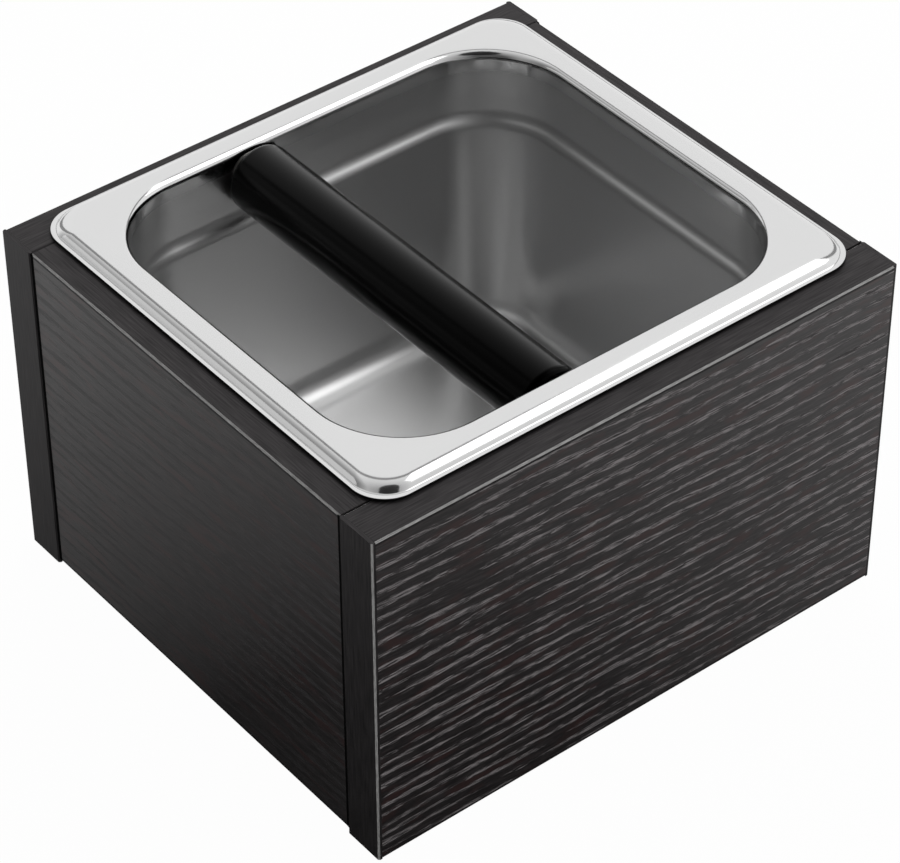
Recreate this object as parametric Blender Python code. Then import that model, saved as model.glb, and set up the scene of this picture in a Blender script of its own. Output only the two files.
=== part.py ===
"""Espresso knock box: a case of four boards, a steel pan that hangs in it and a rubber knock bar.

Lengths are metres and angles are degrees. +Z is up, +X runs along the front panel and the front
panel faces -Y. The origin is on the table, under the middle of the case.
"""

import math

import bmesh
import bpy
import numpy as np

# Fits
SEAM = 0.0003  # between pieces that touch
OVERRUN = 0.001  # how far a cutter runs past the face that it opens
MERGE = 0.000001  # points nearer than this are one point

# Pan, measured along its section from the rim's outer edge inwards
PAN_LENGTH = 0.176  # over the rim, along X
PAN_WIDTH = 0.162  # over the rim, along Y
PAN_DEPTH = 0.100  # from the rim's flat top to the underside of the floor
SHEET = 0.0008
LIP_WIDTH = 0.00055
RIM_RISE = 0.0036  # from the lip up to the rim's flat top
RIM_SLOPE = 54.0  # of the step between them
RIM_FOOT_BEND = 0.0011  # radii of its two bends
RIM_TOP_BEND = 0.0062
WALL_INSET = 0.01145  # from the rim's outer edge to the top of the wall
MOUTH_BEND = 0.0034  # radius from the rim's flat top into the wall
UPPER_DRAFT = 1.0
LOWER_DRAFT = 4.4
SHOULDER_DEPTH = 0.0212  # from the rim's flat top to the stacking shoulder
SHOULDER_STEP = 0.0023
SHOULDER_BEND = 0.0064
FLOOR_BEND = 0.010
RIM_CORNER = 0.0113  # radii of the corners, seen from above
FLAT_CORNER = 0.010
WALL_CORNER = 0.029
LOWER_CORNER = 0.025
FLOOR_CORNER = 0.015

# How the pan hangs in the case
PLAY_ALONG = 0.0031  # round a pan that hangs in the middle, along X
PLAY_ACROSS = 0.00285  # and along Y
PAN_GAP_RIGHT = 0.00155  # the pan hangs loose, nearer to the right panel
PAN_GAP_BACK = 0.00065  # and nearly against the back panel
UNDER_PAN = 0.0247  # from the pan's floor down to the bottom of the panels

# Case
BOARD = 0.0143  # thickness of every panel
SIDE_STEP = 0.0005  # the side panels stand back from the ends of the front and back panels
SIDE_LIFT = 0.0011  # the side panels end above the bottom of the front and back panels

# Edge bands, glued on every edge that shows
BAND = 0.001
BAND_SQUARE = 0.0003  # what its chamfered corners leave of its thickness

# Feet
FOOT_DIAMETER = 0.010
FOOT_HEIGHT = 0.0015
FOOT_CHAMFER = 0.0003
FOOT_FROM_END = 0.014  # foot's centre to the panel's end

# Dowels
DOWEL_DIAMETER = 0.006
DOWEL_LENGTH = 0.030
DOWEL_IN_FACE = 0.0095  # how much of it is in the front or back panel
DOWEL_CHAMFER = 0.0008
DOWEL_FIT = 0.0002  # round the dowel
DOWEL_END_ROOM = 0.0005  # beyond each of its ends
DOWEL_FROM_TOP = 0.032
DOWEL_FROM_BOTTOM = 0.028

# Knock bar
ROD_DIAMETER = 0.016
ROD_CHAMFER = 0.0005
SLEEVE_WALL = 0.0027
SLEEVE_END_BEND = 0.002
SLEEVE_SHORT = 0.0004  # the sleeve ends this far before the rod does
BAR_FROM_MIDDLE = 0.01755  # its axis to the pan's middle, towards -X
BAR_BELOW_SEAT = 0.0069  # its axis below the case's top

# Bar screws and washers: M5 button heads
SCREW_DIAMETER = 0.005
SCREW_LENGTH = 0.012
SCREW_FIT = 0.0002  # round the screw
THREAD_ROOM = 0.002  # how much deeper its thread in the rod could let it go
HEAD_DIAMETER = 0.0095
HEAD_HEIGHT = 0.00275
HEAD_BRIM = 0.0006
SOCKET_WIDTH = 0.003  # across its flats
SOCKET_DEPTH = 0.0016
WASHER_DIAMETER = 0.010
WASHER_FIT = 0.00015  # round the screw
WASHER_THICKNESS = 0.001
SLOT_ROOM = 0.0005  # round the screw's head in the panel's slot, with the pan pushed to a side

# How finely round shapes are made
TURN_STEPS = 32
SMALL_TURN_STEPS = 20
BEND_STEPS = 4
CORNER_STEPS = 9
HEXAGON = 6
SHARP_ANGLE = 35.0  # edges sharper than this stay sharp

# Worked out from the sizes above
BODY_LENGTH = PAN_LENGTH - 2 * (WALL_INSET - SHEET)  # of the pan under its rim, outside
BODY_WIDTH = PAN_WIDTH - 2 * (WALL_INSET - SHEET)
INNER_X = BODY_LENGTH / 2 + PLAY_ALONG  # inner face of the right side panel
INNER_Y = BODY_WIDTH / 2 + PLAY_ACROSS  # inner face of the back panel
OUTER_X = INNER_X + BOARD
CASE_WIDTH = 2 * (OUTER_X + SIDE_STEP)
CASE_DEPTH = 2 * (INNER_Y + BOARD)
PANEL_HEIGHT = UNDER_PAN + PAN_DEPTH - RIM_RISE - SHEET - SEAM
PANEL_BOTTOM = FOOT_HEIGHT + SEAM
CASE_TOP = PANEL_BOTTOM + PANEL_HEIGHT
SEAT = CASE_TOP + SEAM  # the pan's lip rests here
PAN_SHIFT_X = PLAY_ALONG - PAN_GAP_RIGHT  # of the pan from the middle of the case
PAN_SHIFT_Y = PLAY_ACROSS - PAN_GAP_BACK
BAR_RADIUS = ROD_DIAMETER / 2 + SEAM + SLEEVE_WALL
BAR_Z = -BAR_BELOW_SEAT - SEAM  # its axis in the pan's own frame
BAND_CHAMFER = BAND - BAND_SQUARE


def clear_scene():
    for thing in list(bpy.data.objects):
        bpy.data.objects.remove(thing, do_unlink=True)


def finish(name, colour, roughness, metallic=0.0):
    """A Principled material."""
    made = bpy.data.materials.new(name)
    made.use_nodes = True
    shader = made.node_tree.nodes["Principled BSDF"]
    shader.inputs["Base Color"].default_value = (*colour, 1.0)
    shader.inputs["Roughness"].default_value = roughness
    shader.inputs["Metallic"].default_value = metallic
    return made


def frame(name, location=(0, 0, 0)):
    """An empty that carries the pieces of one body."""
    empty = bpy.data.objects.new(name, None)
    empty.location = location
    bpy.context.scene.collection.objects.link(empty)
    return empty


def closed(bm):
    """The same mesh with its double points joined and every face turned outwards."""
    bmesh.ops.remove_doubles(bm, verts=bm.verts, dist=MERGE)
    bmesh.ops.recalc_face_normals(bm, faces=bm.faces)
    return bm


def solid(name, bm, material, parent=None, location=(0, 0, 0), turn=(0, 0, 0), smooth=False):
    """An object from a bmesh, placed by its location and by turns about X, Y and Z."""
    mesh = bpy.data.meshes.new(name)
    bm.to_mesh(mesh)
    bm.free()
    if smooth:
        mesh.shade_smooth()
        mesh.set_sharp_from_angle(angle=math.radians(SHARP_ANGLE))
    made = bpy.data.objects.new(name, mesh)
    made.location = location
    made.rotation_euler = [math.radians(angle) for angle in turn]
    made.parent = parent
    if material:
        mesh.materials.append(material)
    bpy.context.scene.collection.objects.link(made)
    return made


def cutter(name, bm, parent=None, location=(0, 0, 0), turn=(0, 0, 0)):
    made = solid(name, bm, None, parent, location, turn)
    made.hide_render = True
    made.display_type = "WIRE"
    return made


def cut(target, tool):
    step = target.modifiers.new(tool.name, "BOOLEAN")
    step.operation = "DIFFERENCE"
    step.solver = "EXACT"
    step.object = tool


def block(size):
    """A box about its own middle."""
    bm = bmesh.new()
    bmesh.ops.create_cube(bm, size=1.0)
    bmesh.ops.scale(bm, vec=size, verts=bm.verts)
    return closed(bm)


def prism(outline, length):
    """A closed (y, z) outline drawn out along X, about its own middle."""
    bm = bmesh.new()
    face = bm.faces.new([bm.verts.new((-length / 2, y, z)) for y, z in outline])
    drawn = bmesh.ops.extrude_face_region(bm, geom=[face])
    moved = [item for item in drawn["geom"] if isinstance(item, bmesh.types.BMVert)]
    bmesh.ops.translate(bm, vec=(length, 0, 0), verts=moved)
    return closed(bm)


def turned(outline, steps):
    """An (x, z) outline spun about Z. An outline that starts and ends on the axis is solid."""
    bm = bmesh.new()
    points = [bm.verts.new((x, 0, z)) for x, z in outline]
    ends = points[1:] + ([] if outline[0][0] == 0 else points[:1])
    edges = [bm.edges.new(pair) for pair in zip(points, ends)]
    bmesh.ops.spin(
        bm, geom=points + edges, cent=(0, 0, 0), axis=(0, 0, 1), angle=math.tau, steps=steps, use_merge=True
    )
    return closed(bm)


def rod_outline(radius, length, chamfer):
    """Half the section of a round bar with chamfered ends, standing on z = 0."""
    return [
        (0, 0),
        (radius - chamfer, 0),
        (radius, chamfer),
        (radius, length - chamfer),
        (radius - chamfer, length),
        (0, length),
    ]


def plain_rod(radius, length, steps):
    return turned([(0, 0), (radius, 0), (radius, length), (0, length)], steps)


def build_panels(case, material):
    """The boards under their edge bands: the bands and their seams come off each size."""
    edge = BAND + SEAM
    height = PANEL_HEIGHT - 2 * edge
    middle = PANEL_BOTTOM + PANEL_HEIGHT / 2
    made = {}
    for side, name in ((-1, "front"), (1, "back")):
        size = (CASE_WIDTH - 2 * edge, BOARD, height)
        place = (0, side * (CASE_DEPTH - BOARD) / 2, middle)
        made[name] = solid(f"{name}_panel", block(size), material, case, place)
    for side, name in ((-1, "left"), (1, "right")):
        size = (BOARD, 2 * (INNER_Y - SEAM), height - SIDE_LIFT)
        place = (side * (OUTER_X - BOARD / 2), 0, middle + SIDE_LIFT / 2)
        made[name] = solid(f"{name}_side_panel", block(size), material, case, place)
    return made


def band_outline():
    """Section of an edge band: y across the board, z out of its edge, outer corners chamfered."""
    half = BOARD / 2
    return [
        (-half, 0),
        (half, 0),
        (half, BAND - BAND_CHAMFER),
        (half - BAND_CHAMFER, BAND),
        (BAND_CHAMFER - half, BAND),
        (-half, BAND - BAND_CHAMFER),
    ]


def build_bands(case, material):
    """A band lies with its length along X and its outside up, then is turned to its edge."""
    made = {}
    middle = PANEL_BOTTOM + PANEL_HEIGHT / 2
    panel_y = (CASE_DEPTH - BOARD) / 2
    side_x = OUTER_X - BOARD / 2
    top = CASE_TOP - BAND
    long_run = CASE_WIDTH - 2 * (BAND + SEAM)
    side_run = 2 * (INNER_Y - SEAM)
    side_bottom = PANEL_BOTTOM + SIDE_LIFT
    for side, name in ((-1, "front_panel"), (1, "back_panel")):
        y = side * panel_y
        rows = (
            ("top", long_run, (0, y, top), (0, 0, 0)),
            ("bottom", long_run, (0, y, PANEL_BOTTOM + BAND), (180, 0, 0)),
            ("left_end", PANEL_HEIGHT, (BAND - CASE_WIDTH / 2, y, middle), (0, -90, 0)),
            ("right_end", PANEL_HEIGHT, (CASE_WIDTH / 2 - BAND, y, middle), (0, 90, 0)),
        )
        for edge, length, place, turn in rows:
            key = f"{name}_{edge}"
            made[key] = solid(f"{key}_band", prism(band_outline(), length), material, case, place, turn)
    for side, name in ((-1, "left_side_panel"), (1, "right_side_panel")):
        x = side * side_x
        rows = (("top", (x, 0, top), (0, 0, 90)), ("bottom", (x, 0, side_bottom + BAND), (180, 0, 90)))
        for edge, place, turn in rows:
            key = f"{name}_{edge}"
            made[key] = solid(f"{key}_band", prism(band_outline(), side_run), material, case, place, turn)
    return made


def build_dowels(case, panels, material):
    """Two dowels in each corner: each lies along Y, partly in a long panel and partly in a side."""
    radius = DOWEL_DIAMETER / 2
    hole_length = DOWEL_LENGTH + 2 * DOWEL_END_ROOM
    heights = (("upper", CASE_TOP - DOWEL_FROM_TOP), ("lower", PANEL_BOTTOM + DOWEL_FROM_BOTTOM))
    outline = rod_outline(radius, DOWEL_LENGTH, DOWEL_CHAMFER)
    for side_y, long_name in ((-1, "front"), (1, "back")):
        start = side_y * (INNER_Y + DOWEL_IN_FACE)
        turn = (90 * side_y, 0, 0)
        for side_x, side_name in ((-1, "left"), (1, "right")):
            x = side_x * (OUTER_X - BOARD / 2)
            for level, z in heights:
                name = f"{long_name}_{side_name}_{level}_dowel"
                solid(name, turned(outline, SMALL_TURN_STEPS), material, case, (x, start, z), turn, True)
                hole = cutter(
                    f"{name}_hole",
                    plain_rod(radius + DOWEL_FIT, hole_length, SMALL_TURN_STEPS),
                    case,
                    (x, start + side_y * DOWEL_END_ROOM, z),
                    turn,
                )
                cut(panels[long_name], hole)
                cut(panels[side_name], hole)


def build_feet(case, material):
    outline = rod_outline(FOOT_DIAMETER / 2, FOOT_HEIGHT, FOOT_CHAMFER)
    for side_y, long_name in ((-1, "front"), (1, "back")):
        for side_x, side_name in ((-1, "left"), (1, "right")):
            x = side_x * (CASE_WIDTH / 2 - FOOT_FROM_END)
            y = side_y * (CASE_DEPTH - BOARD) / 2
            name = f"{long_name}_{side_name}_foot"
            solid(name, turned(outline, SMALL_TURN_STEPS), material, case, (x, y, 0), smooth=True)


class Section:
    """A pen that draws a section in straight runs and round bends: x is inset, z is height."""

    def __init__(self, x, z):
        self.points = [(x, z)]
        self.heading = 0.0

    def run(self, length):
        x, z = self.points[-1]
        angle = math.radians(self.heading)
        self.points.append((x + length * math.cos(angle), z + length * math.sin(angle)))

    def bend(self, radius, turn):
        steps = BEND_STEPS
        x, z = self.points[-1]
        side = math.copysign(radius, turn)
        start = math.radians(self.heading)
        for step in range(1, steps + 1):
            angle = math.radians(self.heading + turn * step / steps)
            dx = side * (math.sin(angle) - math.sin(start))
            dz = side * (math.cos(start) - math.cos(angle))
            self.points.append((x + dx, z + dz))
        self.heading += turn


def pan_section():
    """The sheet's upper side, from the lip's edge to the floor, and the corner radii along it."""
    top = SHEET + RIM_RISE
    pen = Section(0, SHEET)
    pen.run(LIP_WIDTH)
    slope = math.radians(RIM_SLOPE)
    bends = (RIM_FOOT_BEND + RIM_TOP_BEND) * (1 - math.cos(slope))
    pen.bend(RIM_FOOT_BEND, RIM_SLOPE)
    pen.run((RIM_RISE - bends) / math.sin(slope))
    pen.bend(RIM_TOP_BEND, -RIM_SLOPE)
    flat_start = pen.points[-1][0]
    upper = math.radians(UPPER_DRAFT)
    lower = math.radians(LOWER_DRAFT)
    pen.run(WALL_INSET - MOUTH_BEND * math.cos(upper) - flat_start)
    flat_end = pen.points[-1][0]
    pen.bend(MOUTH_BEND, UPPER_DRAFT - 90)
    wall_top = pen.points[-1][0]
    pen.run((SHOULDER_DEPTH - MOUTH_BEND * (1 - math.sin(upper))) / math.cos(upper))
    shoulder = math.degrees(math.acos(1 - SHOULDER_STEP / (2 * SHOULDER_BEND)))
    pen.bend(SHOULDER_BEND, shoulder)
    pen.bend(SHOULDER_BEND, LOWER_DRAFT - UPPER_DRAFT - shoulder)
    lower_top = pen.points[-1][0]
    floor = top - PAN_DEPTH + SHEET
    fillet = FLOOR_BEND * (1 - math.sin(lower))
    pen.run((pen.points[-1][1] - floor - fillet) / math.cos(lower))
    pen.bend(FLOOR_BEND, 90 - LOWER_DRAFT)
    insets = (0, flat_start, flat_end, wall_top, lower_top, pen.points[-1][0])
    mouth = WALL_CORNER + MOUTH_BEND
    corners = (RIM_CORNER, FLAT_CORNER, mouth, WALL_CORNER, LOWER_CORNER, FLOOR_CORNER)
    return pen.points, insets, corners


def rounded_rectangle(bm, half_x, half_y, radius, z):
    """A ring of points round a rectangle with round corners."""
    ring = []
    for start, side_x, side_y in ((0, 1, 1), (90, -1, 1), (180, -1, -1), (270, 1, -1)):
        for step in range(CORNER_STEPS + 1):
            angle = math.radians(start + 90 * step / CORNER_STEPS)
            x = side_x * (half_x - radius) + radius * math.cos(angle)
            y = side_y * (half_y - radius) + radius * math.sin(angle)
            ring.append(bm.verts.new((x, y, z)))
    return ring


def build_pan(pan, material):
    """Rings along the section make the upper side of the sheet, and Solidify gives its thickness."""
    bm = bmesh.new()
    points, insets, corners = pan_section()
    rings = []
    for inset, z in points:
        radius = float(np.interp(inset, insets, corners))
        rings.append(rounded_rectangle(bm, PAN_LENGTH / 2 - inset, PAN_WIDTH / 2 - inset, radius, z))
    for outer, inner in zip(rings, rings[1:]):
        for i in range(len(outer)):
            bm.faces.new((outer[i - 1], outer[i], inner[i], inner[i - 1]))
    bm.faces.new(rings[-1])
    made = solid("steel_pan", bm, material, pan, smooth=True)
    sheet = made.modifiers.new("sheet", "SOLIDIFY")
    sheet.thickness = SHEET
    sheet.offset = -1.0
    sheet.use_even_offset = True
    hole_radius = SCREW_DIAMETER / 2 + SCREW_FIT
    length = PAN_WIDTH
    tool = cutter(
        "pan_screw_holes",
        plain_rod(hole_radius, length, SMALL_TURN_STEPS),
        pan,
        (-BAR_FROM_MIDDLE, length / 2, BAR_Z),
        (90, 0, 0),
    )
    cut(made, tool)


def wall_inset(z):
    """How far inside the rim's outer edge the pan's inner wall is, at a height in the pan's frame."""
    points = pan_section()[0]
    heights = [point[1] for point in points]
    wall = points[heights.index(max(heights)):]
    wall.reverse()
    return float(np.interp(z, [point[1] for point in wall], [point[0] for point in wall]))


def build_knock_bar(pan, materials):
    """The wall leans in, so the rod ends where the wall is at the underside of the bar."""
    half = PAN_WIDTH / 2 - wall_inset(BAR_Z - BAR_RADIUS) - SEAM
    place = (-BAR_FROM_MIDDLE, half, BAR_Z)
    lying = (90, 0, 0)
    outline = rod_outline(ROD_DIAMETER / 2, 2 * half, ROD_CHAMFER)
    rod = solid("knock_bar_rod", turned(outline, TURN_STEPS), materials["bar"], pan, place, lying, True)
    for side, name in ((-1, "front"), (1, "rear")):
        tool = cutter(
            f"{name}_thread",
            plain_rod(SCREW_DIAMETER / 2 + SCREW_FIT, SCREW_LENGTH + THREAD_ROOM + OVERRUN, SMALL_TURN_STEPS),
            pan,
            (-BAR_FROM_MIDDLE, side * (half + OVERRUN), BAR_Z),
            (90 * side, 0, 0),
        )
        cut(rod, tool)
    inner = ROD_DIAMETER / 2 + SEAM
    length = 2 * (half - SLEEVE_SHORT)
    bend = min(SLEEVE_END_BEND, SLEEVE_WALL)
    pen = Section(inner, 0)
    pen.run(SLEEVE_WALL - bend)
    pen.bend(bend, 90)
    pen.run(length - 2 * bend)
    pen.bend(bend, 90)
    pen.points.append((inner, length))
    place = (-BAR_FROM_MIDDLE, half - SLEEVE_SHORT, BAR_Z)
    sleeve = turned(pen.points, TURN_STEPS)
    solid("knock_bar_sleeve", sleeve, materials["sleeve"], pan, place, lying, True)


def screw_outline():
    """Half the section of a button-head screw, with the underside of its head at z = 0."""
    shank = SCREW_DIAMETER / 2
    head = HEAD_DIAMETER / 2
    rise = HEAD_HEIGHT - HEAD_BRIM
    dome = (head * head + rise * rise) / (2 * rise)  # radius of the head's top
    points = [(0, -SCREW_LENGTH), (shank, -SCREW_LENGTH), (shank, 0), (head, 0)]
    half_angle = math.asin(head / dome)
    for step in range(BEND_STEPS + 1):
        angle = half_angle * (1 - step / BEND_STEPS)
        points.append((dome * math.sin(angle), HEAD_HEIGHT - dome + dome * math.cos(angle)))
    points[-1] = (0, HEAD_HEIGHT)
    return points


def washer_seat():
    """From the pan's middle to a washer's inner face. The wall leans in, so its upper side touches."""
    thick = SHEET / math.cos(math.radians(UPPER_DRAFT))
    return PAN_WIDTH / 2 - wall_inset(BAR_Z + WASHER_DIAMETER / 2) + thick + SEAM


def build_bar_screws(pan, materials):
    """Washer and screw outside the pan's front and back walls."""
    washer_y = washer_seat()
    head_y = washer_y + WASHER_THICKNESS + SEAM
    bore = SCREW_DIAMETER / 2 + WASHER_FIT
    rim = WASHER_DIAMETER / 2
    ring = [(bore, 0), (rim, 0), (rim, WASHER_THICKNESS), (bore, WASHER_THICKNESS)]
    socket_radius = SOCKET_WIDTH / 2 / math.cos(math.pi / HEXAGON)
    for side, name in ((-1, "front"), (1, "rear")):
        turn = (-90 * side, 0, 0)
        place = (-BAR_FROM_MIDDLE, side * washer_y, BAR_Z)
        washer = turned(ring, SMALL_TURN_STEPS)
        solid(f"{name}_bar_washer", washer, materials["screw"], pan, place, turn, True)
        place = (-BAR_FROM_MIDDLE, side * head_y, BAR_Z)
        shape = turned(screw_outline(), SMALL_TURN_STEPS)
        screw = solid(f"{name}_bar_screw", shape, materials["screw"], pan, place, turn, True)
        socket_y = side * (head_y + HEAD_HEIGHT - SOCKET_DEPTH)
        tool = cutter(
            f"{name}_hex_socket",
            plain_rod(socket_radius, SOCKET_DEPTH + OVERRUN, HEXAGON),
            pan,
            (-BAR_FROM_MIDDLE, socket_y, BAR_Z),
            turn,
        )
        cut(screw, tool)


def cut_screw_slots(case, panels, bands):
    """A slot in each long panel, open at the top, lets a screw's head and washer rise with the pan."""
    radius = WASHER_DIAMETER / 2 + PLAY_ALONG + SLOT_ROOM
    rise = BAR_BELOW_SEAT + OVERRUN
    angles = np.linspace(math.pi, math.tau, TURN_STEPS // 2)
    low = [(radius * math.cos(angle), radius * math.sin(angle)) for angle in angles]
    outline = [*low, (radius, rise), (-radius, rise)]
    head_end = washer_seat() + WASHER_THICKNESS + SEAM + HEAD_HEIGHT
    depth = OVERRUN + head_end - BODY_WIDTH / 2 + SLOT_ROOM
    for side, name in ((-1, "front"), (1, "back")):
        y = side * (INNER_Y - OVERRUN + depth / 2)
        place = (-BAR_FROM_MIDDLE, y, CASE_TOP - BAR_BELOW_SEAT)
        tool = cutter(f"{name}_screw_slot", prism(outline, depth), case, place, (0, 0, 90))
        cut(panels[name], tool)
        cut(bands[f"{name}_panel_top"], tool)


def main():
    clear_scene()
    board = finish("dark_melamine_board", (0.039, 0.035, 0.036), 0.5)
    band = finish("dark_edge_band", (0.036, 0.034, 0.035), 0.45)
    wood = finish("beech_dowel", (0.55, 0.36, 0.19), 0.6)
    steel = finish("satin_stainless_steel", (0.6, 0.6, 0.6), 0.25, 1.0)
    rubber = finish("black_rubber", (0.006, 0.006, 0.006), 0.3)
    foot = finish("grey_rubber", (0.03, 0.03, 0.03), 0.7)
    zinc = finish("plated_steel", (0.5, 0.5, 0.5), 0.35, 1.0)

    case = frame("case")
    panels = build_panels(case, board)
    bands = build_bands(case, band)
    build_dowels(case, panels, wood)
    build_feet(case, foot)
    cut_screw_slots(case, panels, bands)

    pan = frame("pan", (PAN_SHIFT_X, PAN_SHIFT_Y, SEAT))
    build_pan(pan, steel)
    build_knock_bar(pan, {"bar": zinc, "sleeve": rubber})
    build_bar_screws(pan, {"screw": zinc})


main()
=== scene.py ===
# %% [markdown]
# An espresso knock box catches used coffee. The barista strikes the filter holder on the
# rubber bar, and the grounds fall into the steel pan, which lifts out of its wooden case to be
# emptied. The solid model of the box is ready made, and this lesson gives it its looks:
# grain, scraped edges, drawn steel and soft studio light. Every length is in metres, +X runs
# along the front panel, +Y goes to the back and +Z is up.

# %% Load the solid model
import math

import bmesh
import bpy
from mathutils import Euler, Matrix, Vector


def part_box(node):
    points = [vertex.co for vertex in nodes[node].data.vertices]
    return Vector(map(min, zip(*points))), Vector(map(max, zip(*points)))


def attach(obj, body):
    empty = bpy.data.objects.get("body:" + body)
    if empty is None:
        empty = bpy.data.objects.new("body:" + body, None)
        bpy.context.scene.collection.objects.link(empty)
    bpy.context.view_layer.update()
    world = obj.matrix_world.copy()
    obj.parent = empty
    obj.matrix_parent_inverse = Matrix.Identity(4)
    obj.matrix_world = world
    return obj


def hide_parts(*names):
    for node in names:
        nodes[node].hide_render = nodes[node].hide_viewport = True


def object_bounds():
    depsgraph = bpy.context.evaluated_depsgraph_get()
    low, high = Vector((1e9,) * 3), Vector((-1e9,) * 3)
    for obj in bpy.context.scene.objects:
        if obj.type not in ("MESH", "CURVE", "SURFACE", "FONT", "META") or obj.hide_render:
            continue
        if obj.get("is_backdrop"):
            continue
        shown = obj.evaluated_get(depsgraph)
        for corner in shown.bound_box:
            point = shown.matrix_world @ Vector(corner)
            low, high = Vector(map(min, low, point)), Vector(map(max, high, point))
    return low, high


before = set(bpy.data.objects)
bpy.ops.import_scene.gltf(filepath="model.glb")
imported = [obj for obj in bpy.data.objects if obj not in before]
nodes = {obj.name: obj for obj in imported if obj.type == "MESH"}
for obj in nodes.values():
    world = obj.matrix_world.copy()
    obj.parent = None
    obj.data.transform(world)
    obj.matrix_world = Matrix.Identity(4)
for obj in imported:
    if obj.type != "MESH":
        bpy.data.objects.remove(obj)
solid_box = [list(corner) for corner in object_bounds()]
MM = 0.001

# %% [markdown]
# The camera looks down on the front left corner. Its place was worked out from the corners of
# the case, which is a plain box and so says exactly where it is seen from. A long lens far
# away keeps the upright edges almost parallel. Three angles turn the camera: the tilt, the
# swing round the box and a very small roll, which comes last, about its own line of sight.

# %% Camera
TILT, SWING, ROLL = (math.radians(angle) for angle in (49.775, -38.55, -0.27))
CAMERA_PLACE = (-0.52117, -0.65508, 0.76048)
camera_data = bpy.data.cameras.new("photo_camera")
camera_data.sensor_width = 36.0
camera_data.lens = 146.06
camera = bpy.data.objects.new("photo_camera", camera_data)
aim = Euler((TILT, 0.0, SWING)).to_matrix() @ Matrix.Rotation(ROLL, 3, "Z")
camera.matrix_world = Matrix.Translation(CAMERA_PLACE) @ aim.to_4x4()
bpy.context.scene.collection.objects.link(camera)
bpy.context.scene.camera = camera
bpy.context.scene.view_settings.view_transform = "Standard"
print("camera looks along", [round(part, 3) for part in -aim.col[2]])

# %% [markdown]
# Materials are built from nodes. One helper adds a node: its options go in by name, and its
# inputs take either a plain value or the output of another node, which is then linked.
# Colours are written as the hex values that a paint program shows. Blender works with linear
# light, so one function turns them.


# %% Helpers for materials
def add(tree, kind, inputs=None, **options):
    """Adds one node with its options set and its inputs filled or linked."""
    node = tree.nodes.new(kind)
    for name, value in options.items():
        setattr(node, name, value)
    for name, value in (inputs or {}).items():
        if isinstance(value, bpy.types.NodeSocket):
            tree.links.new(value, node.inputs[name])
        else:
            node.inputs[name].default_value = value
    return node


def linear(hex_colour):
    """An sRGB hex colour as linear red, green, blue and a full alpha."""
    turned = []
    for i in (1, 3, 5):
        part = int(hex_colour[i : i + 2], 16) / 255
        turned.append(part / 12.92 if part <= 0.04045 else ((part + 0.055) / 1.055) ** 2.4)
    return (*turned, 1.0)


def new_material(name, settings):
    """A material, its node tree and its Principled shader, with plain values set on the shader."""
    material = bpy.data.materials.new(name)
    material.use_nodes = True
    tree = material.node_tree
    shader = tree.nodes["Principled BSDF"]
    for socket, value in settings.items():
        shader.inputs[socket].default_value = value
    return material, tree, shader


print("white is", linear("#ffffff")[0], "and mid grey is", round(linear("#808080")[0], 3))

# %% [markdown]
# The box stands in a white studio. The world and the floor look white to the camera and to
# shiny surfaces, which the Light Path node tells apart from the soft light that falls on the
# object. The floor keeps a part of its real shading, so the box still has its faint shadow.

# %% World
WHITE = linear("#ffffff")
SKY_LIGHT, SKY_LOOK = 0.2, 1.0
world = bpy.data.worlds.new("white_studio")
bpy.context.scene.world = world
world.use_nodes = True
sky = world.node_tree
sky.nodes.clear()
rays = add(sky, "ShaderNodeLightPath").outputs
shine = add(
    sky,
    "ShaderNodeMath",
    {0: rays["Is Glossy Ray"], 1: rays["Is Transmission Ray"]},
    operation="ADD",
).outputs[0]
seen = add(
    sky, "ShaderNodeMath", {0: rays["Is Camera Ray"], 1: shine}, operation="ADD", use_clamp=True
).outputs[0]
soft_light = add(sky, "ShaderNodeBackground", {"Color": WHITE, "Strength": SKY_LIGHT}).outputs[0]
backdrop = add(sky, "ShaderNodeBackground", {"Color": WHITE, "Strength": SKY_LOOK}).outputs[0]
both = add(sky, "ShaderNodeMixShader", {0: seen, 1: soft_light, 2: backdrop}).outputs[0]
add(sky, "ShaderNodeOutputWorld", {"Surface": both})
print("the sky lights at", SKY_LIGHT, "and looks", SKY_LOOK)

# %% [markdown]
# The boards are smooth enough to mirror the floor. For shiny surfaces the floor carries a
# painted shadow: its white fades out towards the corner of the box that is nearest to the
# camera, where the box's own soft shadow falls. The boards then grow darker towards the ground
# and towards that corner, which tells the eye that they are half glossy.

# %% Floor
CAMERA_WHITE = 0.98  # the rest is the paper's own shading, with its shadow
PAINTED_SHADOW_START, PAINTED_SHADOW_END = 0.08, 0.41  # metres from the near foot
PAINTED_SHADOW_DEPTH = 0.95  # the share of the white that the painted shadow takes away at its start
FLOOR_DROP = 0.1 * MM  # under the feet, so that the two never flicker into each other
case_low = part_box("front_panel")[0]
near_foot = (case_low.x, case_low.y, 0.0)
paper, tree, shader = new_material(
    "white_studio_paper", {"Base Color": linear("#f2f2f2"), "Roughness": 0.9}
)
place = add(tree, "ShaderNodeTexCoord").outputs["Object"]
away = add(
    tree, "ShaderNodeVectorMath", {0: place, 1: near_foot}, operation="DISTANCE"
).outputs["Value"]
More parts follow.
